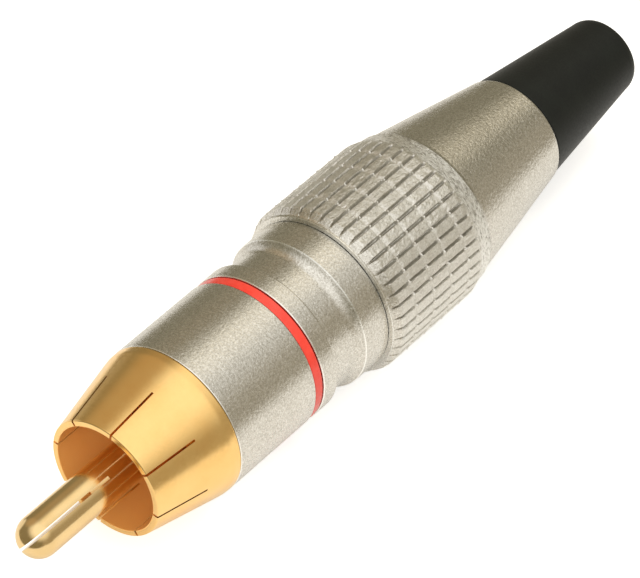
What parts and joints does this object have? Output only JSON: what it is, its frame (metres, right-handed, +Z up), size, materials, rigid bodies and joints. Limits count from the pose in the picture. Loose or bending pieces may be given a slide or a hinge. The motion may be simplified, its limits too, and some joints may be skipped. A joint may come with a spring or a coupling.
{
  "type": "cable-mount phono plug",
  "caption": "Metal phono plug with a split centre pin, slit contact collar, coloured ring, ribbed screw-on rear shell and rubber strain relief boot.",
  "frame": {"origin": "on the floor under the plug's axis, half way between the tip of the centre pin and the rear end of the boot", "axes": "+X rearwards along the plug's axis, from the centre pin to the cable end; +Z up from the floor that the plug lies on"},
  "size_m": [0.0662, 0.014, 0.0139],
  "materials": {
    "pin_gold": "polished gold plating",
    "white_insulator": "moulded white plastic",
    "shell_gold": "polished gold plating",
    "barrel_nickel": "satin blasted nickel plating on brass",
    "red_ring": "glossy red plastic",
    "lug_gold": "gold plating",
    "collar_nickel": "satin blasted nickel plating on brass",
    "clear_sleeve": "milky insulating plastic",
    "black_rubber": "matte black rubber"
  },
  "bodies": {
    "plug_body": {"centre_pin": "pin_gold", "insulator": "white_insulator", "contact_shell": "shell_gold", "front_barrel": "barrel_nickel", "colour_ring": "red_ring", "ground_lug": "lug_gold"},
    "boot": {"strain_relief_boot": "black_rubber", "insulating_sleeve": "clear_sleeve"},
    "shell": {"rear_shell": "collar_nickel"}
  },
  "joints": [
    {"name": "boot_slide", "type": "slide", "parent": "plug_body", "child": "boot", "axis": [1, 0, 0], "range_m": [0, 0.0045]},
    {"name": "shell_turn", "type": "hinge", "parent": "boot", "child": "shell", "pos_m": [0, 0, 0.00696], "axis": [1, 0, 0], "range_deg": [0, 2160]}
  ],
  "couplings": [
    {"joint": "boot_slide", "follows": "shell_turn", "m_per_rad": 0.00011936}
  ]
}
